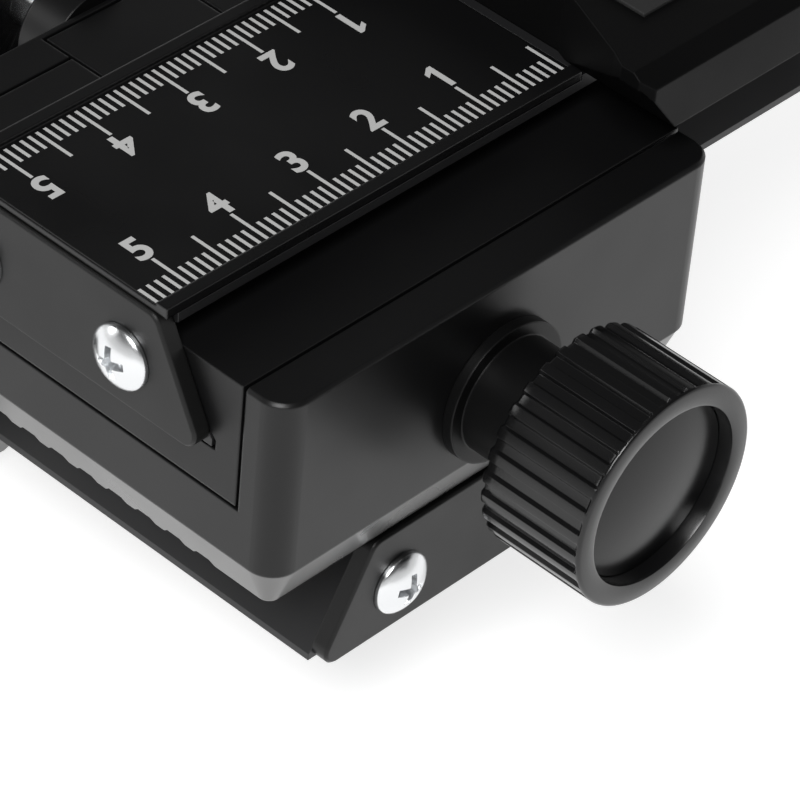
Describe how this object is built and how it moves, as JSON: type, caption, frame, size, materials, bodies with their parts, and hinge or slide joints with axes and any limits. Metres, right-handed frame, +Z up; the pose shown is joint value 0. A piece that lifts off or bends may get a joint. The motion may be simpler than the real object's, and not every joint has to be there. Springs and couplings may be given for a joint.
{
  "type": "macro focusing rail",
  "caption": "Crosswise focusing rail: stacked dovetail slides with rack drive knobs, clamp knobs, printed scales, a camera platform and a tripod socket.",
  "frame": {"origin": "centre of the tripod socket's mouth in the underside of the lower housing", "axes": "+Z up, the way a camera screws on; +X along the lower rail from the lower housing to the stage above; +Y along the upper rail towards the camera platform"},
  "size_m": [0.1402, 0.1353, 0.0711],
  "materials": {
    "housing_plastic": "satin black moulded plastic",
    "liner_plastic": "satin black moulded plastic",
    "cap_plastic": "satin black moulded plastic",
    "pad_plastic": "ribbed satin black plastic",
    "plate_plastic": "satin black with light grey print",
    "knob_plastic": "glossy black moulded plastic",
    "rail_metal": "black anodised",
    "gear_metal": "machined",
    "shaft_steel": "turned steel",
    "screw_zinc": "bright zinc plate",
    "rubber": "matte rubber"
  },
  "bodies": {
    "base": {"lower_tray": "housing_plastic", "lower_liner": "liner_plastic", "lower_liner_screws": "screw_zinc", "lower_foot_pad": "pad_plastic", "lower_shaft_bush": "housing_plastic", "lower_lock_bush": "housing_plastic", "tripod_insert": "gear_metal"},
    "lower_slide": {"lower_rail": "rail_metal", "lower_scale_plate": "plate_plastic", "lower_cap_front": "cap_plastic", "lower_cap_back": "cap_plastic", "lower_cap_screws_front": "screw_zinc", "lower_cap_screws_back": "screw_zinc", "lower_rack": "gear_metal", "upper_tray": "housing_plastic", "upper_liner": "liner_plastic", "upper_liner_screws": "screw_zinc", "upper_foot_pad": "pad_plastic", "upper_shaft_bush": "housing_plastic", "upper_lock_bush": "housing_plastic", "joint_screws": "screw_zinc"},
    "lower_drive": {"lower_pinion": "gear_metal", "lower_shaft": "shaft_steel", "lower_shaft_ring": "shaft_steel", "lower_knob": "knob_plastic", "lower_knob_screw": "screw_zinc", "lower_knob_inlay": "knob_plastic"},
    "lower_clamp": {"lower_clamp_shoe": "liner_plastic"},
    "lower_lock": {"lower_lock_screw": "screw_zinc", "lower_lock_knob": "knob_plastic"},
    "upper_slide": {"upper_rail": "rail_metal", "upper_scale_plate": "plate_plastic", "upper_cap_front": "cap_plastic", "upper_cap_back": "cap_plastic", "upper_cap_screws_front": "screw_zinc", "upper_cap_screws_back": "screw_zinc", "upper_rack": "gear_metal", "platform": "housing_plastic", "platform_pad": "rubber", "platform_screws": "screw_zinc"},
    "upper_drive": {"upper_pinion": "gear_metal", "upper_shaft": "shaft_steel", "upper_shaft_ring": "shaft_steel", "upper_knob": "knob_plastic", "upper_knob_screw": "screw_zinc", "upper_knob_inlay": "knob_plastic"},
    "upper_clamp": {"upper_clamp_shoe": "liner_plastic"},
    "upper_lock": {"upper_lock_screw": "screw_zinc", "upper_lock_knob": "knob_plastic"},
    "camera_screw": {"camera_wheel": "knob_plastic", "camera_stud": "shaft_steel"}
  },
  "joints": [
    {"name": "lower_travel", "type": "slide", "parent": "base", "child": "lower_slide", "axis": [-1, 0, 0], "range_m": [0, 0.053]},
    {"name": "lower_drive_turn", "type": "hinge", "parent": "base", "child": "lower_drive", "pos_m": [0, 0, 0.0122], "axis": [0, -1, 0], "range_deg": [-2, 610]},
    {"name": "lower_lock_turn", "type": "hinge", "parent": "lower_clamp", "child": "lower_lock", "pos_m": [0.0012, 0.04, 0.0201], "axis": [0, -1, 0], "range_deg": [0, 135]},
    {"name": "lower_clamp_press", "type": "slide", "parent": "base", "child": "lower_clamp", "axis": [0, -1, 0], "range_m": [-0.00001, 0.00031]},
    {"name": "upper_travel", "type": "slide", "parent": "lower_slide", "child": "upper_slide", "axis": [0, -1, 0], "range_m": [0, 0.053]},
    {"name": "upper_drive_turn", "type": "hinge", "parent": "lower_slide", "child": "upper_drive", "pos_m": [0.0579, 0, 0.0413], "axis": [1, 0, 0], "range_deg": [-2, 610]},
    {"name": "upper_lock_turn", "type": "hinge", "parent": "upper_clamp", "child": "upper_lock", "pos_m": [0.0179, 0.0012, 0.0492], "axis": [1, 0, 0], "range_deg": [0, 135]},
    {"name": "upper_clamp_press", "type": "slide", "parent": "lower_slide", "child": "upper_clamp", "axis": [1, 0, 0], "range_m": [-0.00001, 0.00031]},
    {"name": "camera_screw_turn", "type": "hinge", "parent": "upper_slide", "child": "camera_screw", "pos_m": [0.0579, 0.0531, 0.0612], "axis": [0, 0, 1], "continuous": true}
  ],
  "couplings": [
    {"joint": "lower_drive_turn", "follows": "lower_travel", "rad_per_m": 200},
    {"joint": "upper_drive_turn", "follows": "upper_travel", "rad_per_m": 200},
    {"joint": "lower_clamp_press", "follows": "lower_lock_turn", "m_per_rad": 0.00012732},
    {"joint": "upper_clamp_press", "follows": "upper_lock_turn", "m_per_rad": 0.00012732}
  ]
}
